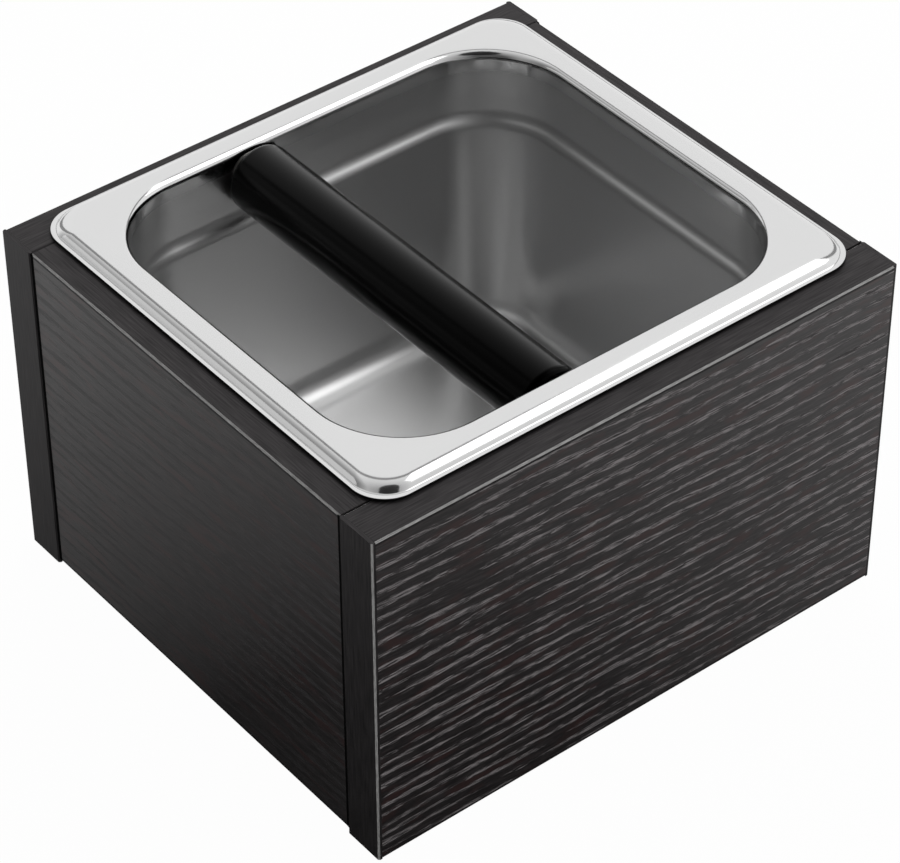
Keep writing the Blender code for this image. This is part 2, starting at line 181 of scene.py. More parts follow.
# Painted shadow: for shiny surfaces the floor's white is taken away towards the near foot.
painted_shadow = add(
    tree,
    "ShaderNodeMapRange",
    {"Value": away, "From Min": PAINTED_SHADOW_START, "From Max": PAINTED_SHADOW_END, "To Min": -PAINTED_SHADOW_DEPTH, "To Max": 0.0},
).outputs[0]
rays = add(tree, "ShaderNodeLightPath").outputs
shine = add(
    tree,
    "ShaderNodeMath",
    {0: rays["Is Glossy Ray"], 1: rays["Is Transmission Ray"]},
    operation="ADD",
).outputs[0]
seen = add(
    tree,
    "ShaderNodeMath",
    {0: rays["Is Camera Ray"], 1: CAMERA_WHITE, 2: shine},
    operation="MULTIPLY_ADD",
).outputs[0]
strength = add(
    tree, "ShaderNodeMath", {0: painted_shadow, 1: shine, 2: 1.0}, operation="MULTIPLY_ADD"
).outputs[0]
glow = add(tree, "ShaderNodeEmission", {"Color": WHITE, "Strength": strength}).outputs[0]
both = add(tree, "ShaderNodeMixShader", {0: seen, 1: shader.outputs[0], 2: glow}).outputs[0]
tree.links.new(both, tree.nodes["Material Output"].inputs["Surface"])
bpy.ops.mesh.primitive_plane_add(size=8.0, location=(0.0, 0.0, -FLOOR_DROP))
floor = bpy.context.object
floor.name = "studio_floor"
floor.data.materials.append(paper)
floor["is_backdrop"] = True
print("the floor's white fades towards", [round(part / MM, 1) for part in near_foot], "mm")

# %% [markdown]
# Soft boxes are large area lights, and each one gets a job. The main one stands behind the
# box, on the right, and gives most of the light. The one in front, on the right, draws the
# white band along the rim's near slope. A low strip on the left is there for shiny surfaces
# alone and draws a thinner band along the left slope.


# %% Places round the rim
rim_top = Vector((0.0, 0.0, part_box("steel_pan")[1].z))


def from_rim(swing, rise, distance):
    """A place seen from the rim: its angle round the box from +X, its angle up, and how far."""
    swing, rise = math.radians(swing), math.radians(rise)
    flat = math.cos(rise)
    way = Vector((flat * math.cos(swing), flat * math.sin(swing), math.sin(rise)))
    return rim_top + way * distance


print("the rim's top is", round(rim_top.z / MM, 1), "mm above the table")


# %% Soft boxes
def soft_box(name, place, width, height, brightness):
    """A rectangular area light that faces the rim. At brightness 1 its own face looks white."""
    data = bpy.data.lights.new(name, "AREA")
    data.shape = "RECTANGLE"
    data.size = width
    data.size_y = height
    data.energy = brightness * math.pi * width * height
    lamp = bpy.data.objects.new(name, data)
    lamp.location = place
    lamp.rotation_euler = (rim_top - place).to_track_quat("-Z", "Y").to_euler()
    bpy.context.scene.collection.objects.link(lamp)
    print(name, "gives", round(data.energy, 2), "W")
    return lamp


soft_box(
    "front_right_soft_box",
    from_rim(swing=317, rise=43, distance=1.25),
    width=0.75,
    height=0.66,
    brightness=1.3,
)
main_box = soft_box(
    "back_right_soft_box",
    from_rim(swing=40, rise=45, distance=1.3),
    width=1.1,
    height=1.1,
    brightness=3.0,
)
main_box.visible_glossy = False
left_strip = soft_box(
    "left_strip_box",
    from_rim(swing=141, rise=16, distance=1.3),
    width=0.7,
    height=0.22,
    brightness=0.45,
)
left_strip.visible_diffuse = False

# %% [markdown]
# The steel pan is a mirror with a rough skin, so what stands round it matters more than its
# own colour. A tent of grey fabric goes round everything, and only shiny surfaces see it. It is
# dark low down behind the camera and grows lighter away from there, and without that dark part
# the pan's walls would be plain white. A picture of a studio could do the same, but this needs
# no file: a dot product says how near a way is to the one that matters.

# %% Tent fabric
DARK_SIDE = (226, 8)  # the swing and the rise of its middle, in degrees
GAIN, START = 1.25, -0.19  # how the light grows with the distance from there
DARKEST = 0.1
tent_fabric, tree, _ = new_material("grey_tent_fabric", {"Roughness": 0.9})
place = add(tree, "ShaderNodeTexCoord").outputs["Object"]
way = add(tree, "ShaderNodeVectorMath", {0: place}, operation="NORMALIZE").outputs[0]


def cosine_to(swing, rise):
    """The cosine of the angle between the way to a spot of the fabric and the way given here."""
    target = tuple(from_rim(swing, rise, 1.0) - rim_top)
    return add(
        tree, "ShaderNodeVectorMath", {0: way, 1: target}, operation="DOT_PRODUCT"
    ).outputs["Value"]


share = add(
    tree, "ShaderNodeMath", {0: 1.0, 1: cosine_to(*DARK_SIDE)}, operation="SUBTRACT"
).outputs[0]
share = add(tree, "ShaderNodeMath", {0: share, 1: 0.5}, operation="POWER").outputs[0]
share = add(
    tree,
    "ShaderNodeMath",
    {0: share, 1: GAIN, 2: START},
    operation="MULTIPLY_ADD",
    use_clamp=True,
).outputs[0]
share = add(tree, "ShaderNodeMath", {0: share, 1: DARKEST}, operation="MAXIMUM").outputs[0]
print("the tent is darkest at a swing of", DARK_SIDE[0], "degrees")

# %% [markdown]
# Three things hang in the tent. A dark flag round the camera's place shows as the sharp dark
# spot at the rim's near corner. A dark gap between the panels of the tent runs in a ring round
# the main soft box and draws the thin line along the crest of the rim. A curtain dims the left.

# %% Flag, gap and curtain
# The place of each comes first, a swing and a rise in degrees, then its size and its light.
FLAG, FLAG_ANGLE, FLAG_LIGHT = (239, 44), 20, 0.08
GAP, GAP_COSINE, GAP_HALF, GAP_DIM = (51, 40), 0.614, 0.055, 0.7  # a ring 48 to 56 degrees away
CURTAIN, CURTAIN_EDGE, CURTAIN_FULL, CURTAIN_LIGHT = (150, 8), 0.75, 0.96, 0.3
flag_edge = math.cos(math.radians(FLAG_ANGLE))
flag = add(
    tree, "ShaderNodeMath", {0: cosine_to(*FLAG), 1: flag_edge}, operation="LESS_THAN"
).outputs[0]
flag = add(tree, "ShaderNodeMath", {0: flag, 1: FLAG_LIGHT}, operation="MAXIMUM").outputs[0]
gap = add(
    tree,
    "ShaderNodeMath",
    {0: cosine_to(*GAP), 1: GAP_COSINE, 2: GAP_HALF},
    operation="COMPARE",
).outputs[0]
gap = add(
    tree, "ShaderNodeMath", {0: gap, 1: -GAP_DIM, 2: 1.0}, operation="MULTIPLY_ADD"
).outputs[0]
curtain = add(
    tree,
    "ShaderNodeMapRange",
    {
        "Value": cosine_to(*CURTAIN),
        "From Min": CURTAIN_EDGE,
        "From Max": CURTAIN_FULL,
        "To Min": 1.0,
        "To Max": CURTAIN_LIGHT,
    },
).outputs[0]
for dimmer in (flag, gap, curtain):
    share = add(tree, "ShaderNodeMath", {0: share, 1: dimmer}, operation="MULTIPLY").outputs[0]
glow = add(tree, "ShaderNodeEmission", {"Color": WHITE, "Strength": share}).outputs[0]
tree.links.new(glow, tree.nodes["Material Output"].inputs["Surface"])
print("nodes in the fabric:", len(tree.nodes))

# %% Tent
TENT_RADIUS = 1.6
bpy.ops.mesh.primitive_uv_sphere_add(
    segments=96, ring_count=48, radius=TENT_RADIUS, location=rim_top
)
tent = bpy.context.object
tent.name = "grey_tent"
tent.data.materials.append(tent_fabric)
tent.visible_camera = False
tent.visible_diffuse = False
tent.visible_shadow = False
tent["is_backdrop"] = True
print("the tent stands", TENT_RADIUS, "m from the rim")

# %% [markdown]
# The boards are chipboard under a printed and pressed melamine skin that copies black oak. Its
# pores are short dashes that lie in long wavy lines, 3.5 to 5 mm apart. The skin between them
# is smooth and half glossy, and the pores are greyer and duller. So where a board faces the
# light they look pale, and where it mirrors something bright they look dark.
#
# The lines are a sine wave across the grain. Slow noise bends them, and fine noise that is
# stretched along the grain breaks their edges up into dashes. The pattern could be a picture,
# but nodes keep it sharp at any size and let it run on over every side of the board.


# %% Pores in lines
GRAIN_BEND = 6.0 * MM  # how far slow noise moves a line
GRAIN_LEAN = 0.03  # almost 2 degrees
LINES_AT_FOOT, LINES_FEWER = 275.0, -290.0  # in each metre, and how that falls for each metre up
PATCH_SHARE, DASH_SHARE = 3.4, 4.0  # against a wave from -1 to 1
PORE_EDGE, PORE_FULL = 4.15, 4.55  # where the sum of all three becomes a pore


def grain_noise(tree, place, length, width, detail):
    """Noise from 0 to 1 with spots of one length along the grain and one width across it."""
    scale = (1 / length, 1 / width, 1 / width)
    spots = add(tree, "ShaderNodeVectorMath", {0: place, 1: scale}, operation="MULTIPLY").outputs[0]
    inputs = {"Vector": spots, "Scale": 1.0, "Detail": detail}
    return add(tree, "ShaderNodeTexNoise", inputs).outputs[0]


def pores_in_lines(tree, along, up, depth):
    """Where the pores are, from 0 to 1, and the place on the board bent with the grain."""
    place = add(tree, "ShaderNodeCombineXYZ", {"X": along, "Y": up, "Z": depth}).outputs[0]
    bend = grain_noise(tree, place, 90 * MM, 24 * MM, 1.0)
    across = add(
        tree, "ShaderNodeMath", {0: bend, 1: GRAIN_BEND, 2: up}, operation="MULTIPLY_ADD"
    ).outputs[0]
    across = add(
        tree, "ShaderNodeMath", {0: along, 1: GRAIN_LEAN, 2: across}, operation="MULTIPLY_ADD"
    ).outputs[0]
    place = add(tree, "ShaderNodeCombineXYZ", {"X": along, "Y": across, "Z": depth}).outputs[0]
    density = add(
        tree,
        "ShaderNodeMath",
        {0: across, 1: LINES_FEWER, 2: LINES_AT_FOOT},
        operation="MULTIPLY_ADD",
    ).outputs[0]
    lines = add(tree, "ShaderNodeMath", {0: across, 1: density}, operation="MULTIPLY").outputs[0]
    turn = add(tree, "ShaderNodeMath", {0: lines, 1: math.tau}, operation="MULTIPLY").outputs[0]
    wave = add(tree, "ShaderNodeMath", {0: turn}, operation="SINE").outputs[0]

    # Slow patches make a line wider or let it fade, and dashes fray its edges.
    patches = grain_noise(tree, place, 26 * MM, 3.5 * MM, 1.0)
    dashes = grain_noise(tree, place, 6.0 * MM, 0.26 * MM, 4.0)
    height = add(
        tree, "ShaderNodeMath", {0: patches, 1: PATCH_SHARE, 2: wave}, operation="MULTIPLY_ADD"
    ).outputs[0]
    height = add(
        tree, "ShaderNodeMath", {0: dashes, 1: DASH_SHARE, 2: height}, operation="MULTIPLY_ADD"
    ).outputs[0]
    pores = add(
        tree,
        "ShaderNodeMapRange",
        {"Value": height, "From Min": PORE_EDGE, "From Max": PORE_FULL},
        interpolation_type="SMOOTHSTEP",
    ).outputs[0]
    return pores, place


print("lines of pores at a board's foot:", round(1000 / LINES_AT_FOOT, 1), "mm apart")

# %% [markdown]
# Four colours make the skin. Dark and lighter threads alternate all over it, slow clouds warm
# it to a brown here and there, and each pore is grey with paler hairs in it. The pores are also
# rougher than the skin and pressed into it by a few hundredths of a millimetre.


# %% Black oak melamine
SKIN_GLOSS, SKIN_ROUGHNESS = 0.6, 0.34
PORE_DEPTH = -3.0  # against the skin's own fine tooth


def black_oak_melamine(name, grain_axis, pore_colour, bright_colour, pore_dullness):
    """The board's skin, with its grain along X or along Y."""
    material, tree, shader = new_material(name, {"Specular IOR Level": SKIN_GLOSS})
    place = add(tree, "ShaderNodeTexCoord").outputs["Object"]
    axes = add(tree, "ShaderNodeSeparateXYZ", {0: place}).outputs
    along, depth = (axes["X"], axes["Y"]) if grain_axis == "X" else (axes["Y"], axes["X"])
    pores, place = pores_in_lines(tree, along, axes["Z"], depth)

    # Hairs run inside the lines: the brightest pores, with some bare skin between them.
    hairs = grain_noise(tree, place, 5.0 * MM, 0.2 * MM, 1.0)
    bright = add(
        tree, "ShaderNodeMapRange", {"Value": hairs, "From Min": 0.47, "From Max": 0.54}
    ).outputs[0]

    # A Mix node in colour mode keeps its two colours in sockets 6 and 7 and gives output 2.
    cloud = grain_noise(tree, place, 14 * MM, 4 * MM, 2.0)
    warm = add(
        tree, "ShaderNodeMapRange", {"Value": cloud, "From Min": 0.52, "From Max": 0.68}
    ).outputs[0]
    threads = grain_noise(tree, place, 6.0 * MM, 0.28 * MM, 1.0)
    thread = add(
        tree, "ShaderNodeMapRange", {"Value": threads, "From Min": 0.46, "From Max": 0.62}
    ).outputs[0]
    skin = add(
        tree,
        "ShaderNodeMix",
        {0: thread, 6: linear("#1f1a1b"), 7: linear("#3a3435")},
        data_type="RGBA",
    ).outputs[2]
    skin = add(
        tree, "ShaderNodeMix", {0: warm, 6: skin, 7: linear("#3d2524")}, data_type="RGBA"
    ).outputs[2]
    dash = add(
        tree,
        "ShaderNodeMix",
        {0: bright, 6: linear(pore_colour), 7: linear(bright_colour)},
        data_type="RGBA",
    ).outputs[2]
    colour = add(tree, "ShaderNodeMix", {0: pores, 6: skin, 7: dash}, data_type="RGBA").outputs[2]
    tree.links.new(colour, shader.inputs["Base Color"])
    dull = add(
        tree,
        "ShaderNodeMapRange",
        {"Value": pores, "To Min": SKIN_ROUGHNESS, "To Max": pore_dullness},
    ).outputs[0]
    tree.links.new(dull, shader.inputs["Roughness"])

    tooth = grain_noise(tree, place, 1.2 * MM, 0.3 * MM, 2.0)
    relief = add(
        tree, "ShaderNodeMath", {0: pores, 1: PORE_DEPTH, 2: tooth}, operation="MULTIPLY_ADD"
    ).outputs[0]
    bump = add(tree, "ShaderNodeBump", {"Height": relief, "Strength": 0.5, "Distance": 0.02 * MM})
    tree.links.new(bump.outputs[0], shader.inputs["Normal"])
    return material


# The side boards get a second copy of the same skin, with darker pores that are hardly duller than
# its skin: painted shade for the sides that get less light.
long_board_skin = black_oak_melamine("black_oak_melamine_along_x", "X", "#343031", "#a29c9d", 0.75)
side_board_skin_painted_shade = black_oak_melamine("black_oak_melamine_along_y", "Y", "#2a2728", "#3a3738", 0.5)
for name, node in nodes.items():
    if name.endswith("panel"):
        node.data.materials[0] = side_board_skin_painted_shade if "side" in name else long_board_skin
        print(name, "has the skin", node.data.materials[0].name)

# %% [markdown]
# Every edge of a board is closed with a strip of ABS plastic, 1 mm thick, which is glued on,
# trimmed and scraped. The scraper leaves a narrow slope on both long corners, and scraped ABS
# is pale and dull, so each strip has a thin light line at its side. The solid model keeps a
# gap of 0.3 mm under each strip. A real glue line is far thinner, so these strips reach down
# almost to the board. Each one is drawn out from its section, with one finish on its face and
# another on its outer slopes. In the four upright corners, where the side boards stand back by
# half a millimetre, a thin black wedge in the joint is painted shadow for the shade of that
# step, and it shows as a black line.

# %% Edge band plastic
BAND = 1.0 * MM
SLOPE = 0.5 * MM
GLUE_GAP = 0.25 * MM  # how far a strip reaches down into the gap under it


def band_plastic(name, face_colour, streak_colour, roughness, streak_length, streak_width):
    """Plastic with streaks along the strip. The UV map holds metres along and across it."""
    material, tree, shader = new_material(name, {"Specular IOR Level": 0.15})
    place = add(tree, "ShaderNodeUVMap").outputs[0]
    streaks = grain_noise(tree, place, streak_length, streak_width, 3.0)
    share = add(
        tree, "ShaderNodeMapRange", {"Value": streaks, "From Min": 0.3, "From Max": 0.7}
    ).outputs[0]
    colour = add(
        tree,
        "ShaderNodeMix",
        {0: share, 6: linear(face_colour), 7: linear(streak_colour)},
        data_type="RGBA",
    ).outputs[2]
    tree.links.new(colour, shader.inputs["Base Color"])
    dull = add(
        tree,
        "ShaderNodeMapRange",
        {"Value": streaks, "To Min": roughness - 0.08, "To Max": roughness + 0.08},
    ).outputs[0]
    tree.links.new(dull, shader.inputs["Roughness"])
    bump = add(tree, "ShaderNodeBump", {"Height": streaks, "Strength": 0.4, "Distance": 0.03 * MM})
    tree.links.new(bump.outputs[0], shader.inputs["Normal"])
    return material


band_face = band_plastic("edge_band_abs", "#1e1c1d", "#403d3e", 0.45, 11 * MM, 0.45 * MM)
# The wedge in the upright joints is painted shadow: near black, rough and almost without gloss.
joint_shadow_black, _, _ = new_material(
    "black_joint_glue",
    {"Base Color": linear("#050505"), "Roughness": 0.9, "Specular IOR Level": 0.05},
)
band_scraped = band_plastic(
    "scraped_edge_band_abs", "#9b9a99", "#e0dfde", 0.6, 3 * MM, 0.25 * MM
)
print("edge band finishes:", band_face.name, band_scraped.name, joint_shadow_black.name)


# %% Painted shadow in the joints
JOINT_SHADOW_SECTION = ((0.0, 0.2), (1.05, 0.51), (1.05, 0.54), (0.0, 0.66))  # mm past the strip, mm up
JOINT_SHADOW_FOOT, JOINT_SHADOW_TOP = 1.6 * MM, 0.1 * MM  # how far inside the strip's ends it stops


def joint_shadow_wedge(bm, place, length):
    """A thin black wedge of painted shadow beside a strip, where place(along, past, up) gives its
    points.
    """
    rings = []
    for way in (JOINT_SHADOW_FOOT - length / 2, length / 2 - JOINT_SHADOW_TOP):
        rings.append([bm.verts.new(place(way, past * MM, up * MM)) for past, up in JOINT_SHADOW_SECTION])
    low, top = rings
    for i in range(len(low)):
        bm.faces.new((low[i - 1], low[i], top[i], top[i - 1])).material_index = 2
    for ring in rings:
        bm.faces.new(ring).material_index = 2


print("the glue reaches", JOINT_SHADOW_SECTION[1][0], "mm into each upright joint")

# %% [markdown]
# A strip is its section, six corners, drawn out along the board's edge. Each side of it gets a
# number: 0 for the plain face, 1 for a scraped slope and 2 for the black wedge of painted shadow
# in the joint. Those are the places of the three finishes in its list of materials. Its UV map
# holds real metres, along the strip and across it, so the streaks keep their true size whichever
# way the strip runs.

# %% Edge bands
STREAK_SHIFT = 0.37  # metres for each letter of a name, so that the strips differ


def edge_band(node_name, outward, along, both_slopes=False, shadow_wedge=False):
    """A strip in the place of its node: outward is the way its face looks, along its length.

    The slope on its outer side is scraped, or both slopes. A black wedge of painted shadow
    fills the joint on its inner side.
    """
    low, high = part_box(node_name)
    outward, along = Vector(outward), Vector(along)
    across = outward.cross(along)
    middle, size = (low + high) / 2, high - low
    length, half = abs(size.dot(along)), abs(size.dot(across)) / 2
    seat = middle - outward * (BAND / 2)
    outline = (
        (-half, -GLUE_GAP),
        (half, -GLUE_GAP),
        (half, BAND - SLOPE),
        (half - SLOPE, BAND),
        (SLOPE - half, BAND),
        (-half, BAND - SLOPE),
    )
    inner = 1 if across.dot(middle) < 0 else -1
    bm = bmesh.new()
    uv = bm.loops.layers.uv.new("strip_metres")

    def beside(way, past, up):
        return seat + along * way + across * inner * (half + past) + outward * up

    # The black wedge here is painted shadow for the joint beside the strip.
    if shadow_wedge:
        joint_shadow_wedge(bm, beside, length)
    ends = []
    for way in (-0.5, 0.5):
        foot = seat + along * way * length
        ends.append([bm.verts.new(foot + across * c + outward * o) for c, o in outline])
    around, shift = 0.0, STREAK_SHIFT * len(nodes[node_name].name)
    for i in range(len(outline)):
        j = (i + 1) % len(outline)
        face = bm.faces.new((ends[0][i], ends[0][j], ends[1][j], ends[1][i]))
        slope = {2: 1, 4: -1}.get(i, 0)  # the section's sides 2 and 4 are its slopes
        face.material_index = 1 if slope and (both_slopes or slope != inner) else 0
        next_around = around + math.dist(outline[i], outline[j])
        corners = ((0, around), (0, next_around), (length, next_around), (length, around))
        for loop, (u, v) in zip(face.loops, corners):
            loop[uv].uv = (u + shift, v)
        around = next_around
    for ring in ends:
        cap = bm.faces.new(ring)
        for loop, (c, o) in zip(cap.loops, outline):
            loop[uv].uv = (c, o)
    bmesh.ops.recalc_face_normals(bm, faces=bm.faces)
    mesh = bpy.data.meshes.new(f"{node_name}_strip")
    bm.to_mesh(mesh)
    bm.free()
    for finish in (band_face, band_scraped, joint_shadow_black):
        mesh.materials.append(finish)
    strip = bpy.data.objects.new(f"{node_name}_strip", mesh)
    bpy.context.scene.collection.objects.link(strip)
    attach(strip, "case")
    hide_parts(node_name)
    return strip


X, Y, Z = Vector((1, 0, 0)), Vector((0, 1, 0)), Vector((0, 0, 1))
strips = {}
for board in ("front_panel", "back_panel", "left_side_panel", "right_side_panel"):
    way = Y if "side" in board else X
    top = edge_band(f"{board}_top_band", Z, way, both_slopes=board == "front_panel")
    strips[f"{board}_top"] = top
    strips[f"{board}_bottom"] = edge_band(f"{board}_bottom_band", -Z, way)
for board in ("front_panel", "back_panel"):
    strips[f"{board}_left"] = edge_band(f"{board}_left_end_band", -X, Z, shadow_wedge=True)
    strips[f"{board}_right"] = edge_band(f"{board}_right_end_band", X, Z, shadow_wedge=True)
print("edge bands:", len(strips))

# %% [markdown]
# The bar's screws stand out at both ends of the pan, so the front and back boards have a slot
# behind the rim that lets the screw heads rise with the pan. The same slot goes through the
# strips on top of those boards.


# %% Slots in the top strips
def keep_as_mesh(piece, sharp_angle):
    """Applies every modifier, then shades smooth apart from edges sharper than an angle."""
    seen_now = piece.evaluated_get(bpy.context.evaluated_depsgraph_get())
    done = bpy.data.meshes.new_from_object(seen_now)
    piece.modifiers.clear()
    piece.data = done
    done.shade_smooth()
    done.set_sharp_from_angle(angle=math.radians(sharp_angle))
    return len(done.polygons)


def cut_away(piece, cutter, sharp_angle=40):
    """Cuts one shape out of a piece, keeps the result and removes the cutter."""
    hole = piece.modifiers.new("cut", "BOOLEAN")
    hole.operation = "DIFFERENCE"
    hole.solver = "EXACT"
    hole.object = cutter
    faces = keep_as_mesh(piece, sharp_angle)
    bpy.data.objects.remove(cutter, do_unlink=True)
    return faces


SLOT_MIDDLE, SLOT_HALF, SLOT_DEPTH = -17.55 * MM, 8.6 * MM, 4.79 * MM
CUTTER_HEIGHT = 8 * MM  # more than a strip's thickness, on both sides of it
for board, side in (("front_panel", -1), ("back_panel", 1)):
    low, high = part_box(board)
    inner = high.y if side < 0 else low.y
    bpy.ops.mesh.primitive_cube_add(size=1.0, location=(SLOT_MIDDLE, inner, high.z))
    cutter = bpy.context.object
    cutter.scale = (2 * SLOT_HALF, 2 * SLOT_DEPTH, CUTTER_HEIGHT)
    print(board, "strip faces:", cut_away(strips[f"{board}_top"], cutter, 20))

# %% [markdown]
# The pan is drawn from one sheet of stainless steel, 0.8 mm thick. It has a raised rim with a
# small flat lip round it, a stacking shoulder a little below the rim and a wide round bend
# into the floor. Its section is a path of straight runs and round bends, drawn by a pen that
# starts at the lip. Each point of the section becomes a ring, a rectangle with round corners,
# and Solidify gives the sheet its thickness. A subdivided box would need no section, but its
# bends would not have the true radii, and in polished steel every wrong bend shows.

# %% Pan section
SHEET = 0.8 * MM
BEND_STEPS = 12
rim_low, rim_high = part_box("steel_pan")
pan_middle = (rim_low + rim_high) / 2
half_length, half_width = (rim_high - rim_low).x / 2, (rim_high - rim_low).y / 2
pan_depth = rim_high.z - rim_low.z


def draw_section(start, steps):
    """Points of a path of (length, 0) runs and (radius, angle) bends, and the end of each step."""
    points, ends, heading = [start], [], 0.0
    for size, angle in steps:
        x, z = points[-1]
        if angle == 0:
            points.append((x + size * math.cos(heading), z + size * math.sin(heading)))
        else:
            side = math.copysign(size, angle)
            for step in range(1, BEND_STEPS + 1):
                turned = heading + math.radians(angle) * step / BEND_STEPS
                dx = side * (math.sin(turned) - math.sin(heading))
                dz = side * (math.cos(heading) - math.cos(turned))
                points.append((x + dx, z + dz))
            heading += math.radians(angle)
        ends.append(points[-1])
    return points, ends


LIP, RIM_RISE, RIM_SLOPE = 0.55 * MM, 3.6 * MM, 54.0
FOOT_BEND, TOP_BEND, MOUTH_BEND = 1.1 * MM, 6.2 * MM, 3.4 * MM
UPPER_DRAFT, LOWER_DRAFT = 1.0, 4.4
WALL_INSET, SHOULDER_DEPTH, SHOULDER_STEP, SHOULDER_BEND = 11.45 * MM, 21.2 * MM, 2.3 * MM, 6.4 * MM
FLOOR_BEND = 10.0 * MM
slope, upper, lower = (math.radians(angle) for angle in (RIM_SLOPE, UPPER_DRAFT, LOWER_DRAFT))
slope_run = (RIM_RISE - (FOOT_BEND + TOP_BEND) * (1 - math.cos(slope))) / math.sin(slope)
rim_step = LIP + (FOOT_BEND + TOP_BEND) * math.sin(slope) + slope_run * math.cos(slope)
flat_run = WALL_INSET - MOUTH_BEND * math.cos(upper) - rim_step
upper_run = (SHOULDER_DEPTH - MOUTH_BEND * (1 - math.sin(upper))) / math.cos(upper)
turn = math.degrees(math.acos(1 - SHOULDER_STEP / (2 * SHOULDER_BEND)))
steps = [
    (LIP, 0),
    (FOOT_BEND, RIM_SLOPE),
    (slope_run, 0),
    (TOP_BEND, -RIM_SLOPE),
    (flat_run, 0),
    (MOUTH_BEND, UPPER_DRAFT - 90),
    (upper_run, 0),
    (SHOULDER_BEND, turn),
    (SHOULDER_BEND, LOWER_DRAFT - UPPER_DRAFT - turn),
]
points, ends = draw_section((0.0, SHEET), steps)
wall_foot = SHEET + RIM_RISE - pan_depth + SHEET + FLOOR_BEND * (1 - math.sin(lower))
steps += [((ends[-1][1] - wall_foot) / math.cos(lower), 0), (FLOOR_BEND, 90 - LOWER_DRAFT)]
section, ends = draw_section((0.0, SHEET), steps)
floor_drop = round(section[-1][1] / MM, 2)
print("points in the section:", len(section), "and its floor at", floor_drop, "mm from the seat")

# %% Pan rings
CORNER_STEPS = 24
WALL_CORNER = 29.0 * MM
CORNER_RADII = (
    (0.0, 11.3 * MM),
    (ends[3][0], 10.0 * MM),
    (ends[4][0], WALL_CORNER + MOUTH_BEND),
    (ends[5][0], WALL_CORNER),
    (ends[8][0], 25.0 * MM),
    (ends[10][0], 15.0 * MM),
)
seat = rim_high.z - SHEET - RIM_RISE


def corner_radius(inset):
    """The corner's radius between the insets where it is known."""
    for (start, first), (stop, last) in zip(CORNER_RADII, CORNER_RADII[1:]):
        if inset <= stop:
            return first + (last - first) * (inset - start) / (stop - start)
    return CORNER_RADII[-1][1]


def rounded_ring(bm, inset, z):
    """A rectangle with round corners, that far inside the rim's outer edge."""
    radius = corner_radius(inset)
    ring = []
    for quarter, side_x, side_y in ((0, 1, 1), (1, -1, 1), (2, -1, -1), (3, 1, -1)):
        for step in range(CORNER_STEPS + 1):
            angle = math.radians(90 * quarter + 90 * step / CORNER_STEPS)
            x = side_x * (half_length - inset - radius) + radius * math.cos(angle)
            y = side_y * (half_width - inset - radius) + radius * math.sin(angle)
            ring.append(bm.verts.new((pan_middle.x + x, pan_middle.y + y, seat + z)))
    return ring


bm = bmesh.new()
rings = [rounded_ring(bm, inset, z) for inset, z in section]
for outer, inner in zip(rings, rings[1:]):
    for i in range(len(outer)):
        bm.faces.new((outer[i - 1], outer[i], inner[i], inner[i - 1]))
bm.faces.new(rings[-1])
mesh = bpy.data.meshes.new("drawn_pan")
bm.to_mesh(mesh)
bm.free()
mesh.materials.append(None)  # a place for the sheet's finish
mesh.materials.append(None)  # and one for its cut edge
pan = bpy.data.objects.new("drawn_pan", mesh)
bpy.context.scene.collection.objects.link(pan)
print("corner radius at the mouth:", round(corner_radius(ends[5][0]) / MM, 1), "mm")

# %% [markdown]
# Modifiers turn the thin skin into a pan. Solidify adds the sheet's thickness below it, Bevel
# breaks the two sharp edges of the lip, and a Boolean with one long round cutter opens the
# holes for the bar's screws in both walls. The result is kept as a plain mesh, so that nothing
# depends on the cutter. Weighted Normal comes last: it lets the large faces rule how the bends
# between them are shaded, so the flat rim mirrors without waves.


# %% Pan sheet
SCREW_HOLE = 2.7 * MM  # radius
LIP_BEVEL = 0.2 * MM


def cylinder_along_y(name, radius, place, length, sides):
    """A cylinder whose line runs from front to back."""
    bpy.ops.mesh.primitive_cylinder_add(
        vertices=sides, radius=radius, depth=length, location=place, rotation=(math.pi / 2, 0, 0)
    )
    made = bpy.context.object
    made.name = name
    return made


bar_low, bar_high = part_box("knock_bar_sleeve")
bar_axis = (bar_low + bar_high) / 2
screw_hole = cylinder_along_y("screw_hole_cutter", SCREW_HOLE, bar_axis, 2 * half_width, 48)
sheet = pan.modifiers.new("sheet", "SOLIDIFY")
sheet.thickness = SHEET
sheet.offset = -1.0
sheet.use_even_offset = True
sheet.material_offset_rim = 1
edge = pan.modifiers.new("lip_edge", "BEVEL")
edge.width = LIP_BEVEL
edge.segments = 3
edge.limit_method = "ANGLE"
edge.angle_limit = math.radians(60)
print("faces in the pan:", cut_away(pan, screw_hole, 30))
weights = pan.modifiers.new("flat_stays_flat", "WEIGHTED_NORMAL")
weights.keep_sharp = True

# %% [markdown]
# Stainless steel is grey by its own colour, and all the rest is what it mirrors. Inside, the
# drawn sheet has a satin skin that blurs what it shows. The rim's bends were polished, so they
# are clearer, and its flat top is brushed a little duller again. One material does it all: its
# roughness follows the height on the pan. Only the lip's cut edge has a finish of its own, a
# dark grey that is painted shadow for the black contact line under the lip.

